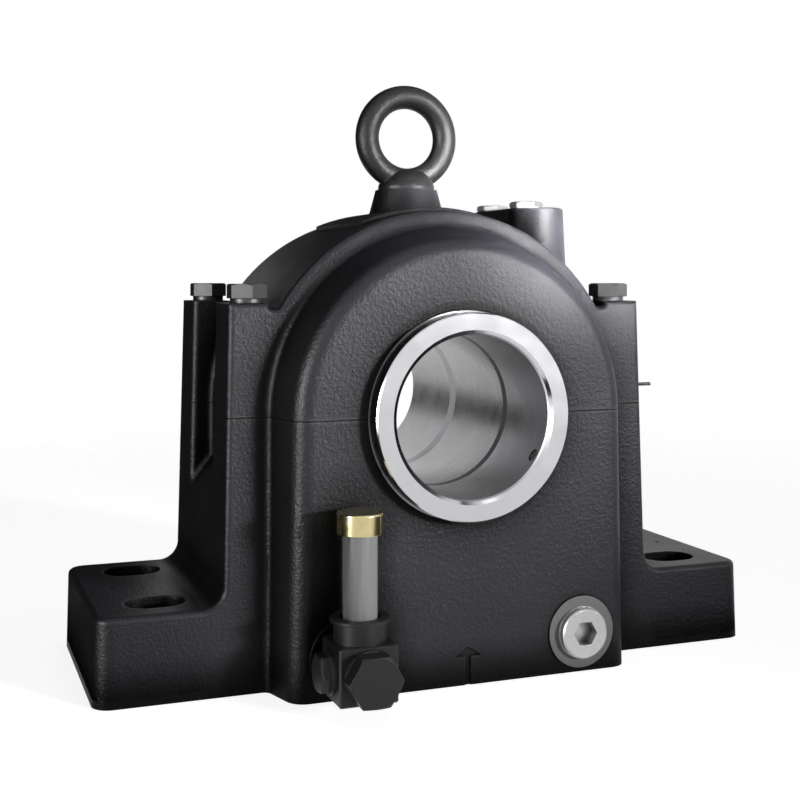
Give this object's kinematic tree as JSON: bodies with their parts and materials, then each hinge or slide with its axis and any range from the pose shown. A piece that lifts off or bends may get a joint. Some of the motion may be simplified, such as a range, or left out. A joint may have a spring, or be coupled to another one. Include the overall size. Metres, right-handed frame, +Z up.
{
  "type": "split plummer block",
  "caption": "Split cast bearing housing on a four-slot foot, with turned shaft seal rings, oil level gauge, drain plug, filler plugs and lifting eye.",
  "frame": {"origin": "centre of the foot's underside, directly below the middle of the bearing", "axes": "+X along the foot, +Y along the shaft away from the gauge and drain side, +Z up"},
  "size_m": [0.376, 0.2334, 0.3242],
  "materials": {
    "casting_paint": "graphite paint with a fine orange-peel texture",
    "eye_paint": "smooth semi-gloss black",
    "bolt_steel": "dull zinc-plated steel",
    "bright_steel": "bright plated steel",
    "plug_alloy": "matte plated alloy",
    "washer_alloy": "dull soft alloy",
    "gauge_black": "black oxide, satin",
    "seal_rubber": "matte black",
    "sight_tube": "clear, slightly hazed tube",
    "sight_brass": "bright polished",
    "turned_steel": "fine turned",
    "bearing_steel": "ground and polished",
    "cage_brass": "machined"
  },
  "bodies": {
    "housing": {"housing_base": "casting_paint", "housing_cap": "casting_paint", "cap_bolts": "bolt_steel", "dowel_pins": "bolt_steel", "eye_bolt": "eye_paint", "filler_plugs": "bright_steel", "filler_washers": "washer_alloy", "drain_plug": "plug_alloy", "drain_washer": "washer_alloy", "gauge_block": "gauge_black", "gauge_nipple": "gauge_black", "gauge_front_plug": "gauge_black", "gauge_side_plug": "gauge_black", "gauge_collar": "gauge_black", "tube_seal": "seal_rubber", "sight_tube": "sight_tube", "sight_cap": "sight_brass", "bearing_outer_ring": "bearing_steel", "locating_rings": "bolt_steel", "flank_pin": "bolt_steel"},
    "shaft_set": {"seal_ring_front": "turned_steel", "seal_ring_rear": "turned_steel", "set_screws": "bolt_steel", "adapter_sleeve": "turned_steel", "lock_nut": "bolt_steel", "lock_washer": "bolt_steel", "bearing_inner_ring": "bearing_steel"},
    "roller_set": {"rollers": "bearing_steel", "roller_cage": "cage_brass"},
    "pickup_ring": {"oil_pickup_ring": "cage_brass"}
  },
  "joints": [
    {"name": "shaft_spin", "type": "hinge", "parent": "housing", "child": "shaft_set", "pos_m": [0, 0, 0.14], "axis": [0, 1, 0], "continuous": true},
    {"name": "roller_set_spin", "type": "hinge", "parent": "housing", "child": "roller_set", "pos_m": [0, 0, 0.14], "axis": [0, 1, 0], "continuous": true},
    {"name": "pickup_ring_spin", "type": "hinge", "parent": "housing", "child": "pickup_ring", "pos_m": [0, 0, 0.1223], "axis": [0, 1, 0], "continuous": true}
  ],
  "couplings": [
    {"joint": "roller_set_spin", "follows": "shaft_spin", "ratio": 0.4194},
    {"joint": "pickup_ring_spin", "follows": "shaft_spin", "ratio": 0.7429}
  ]
}
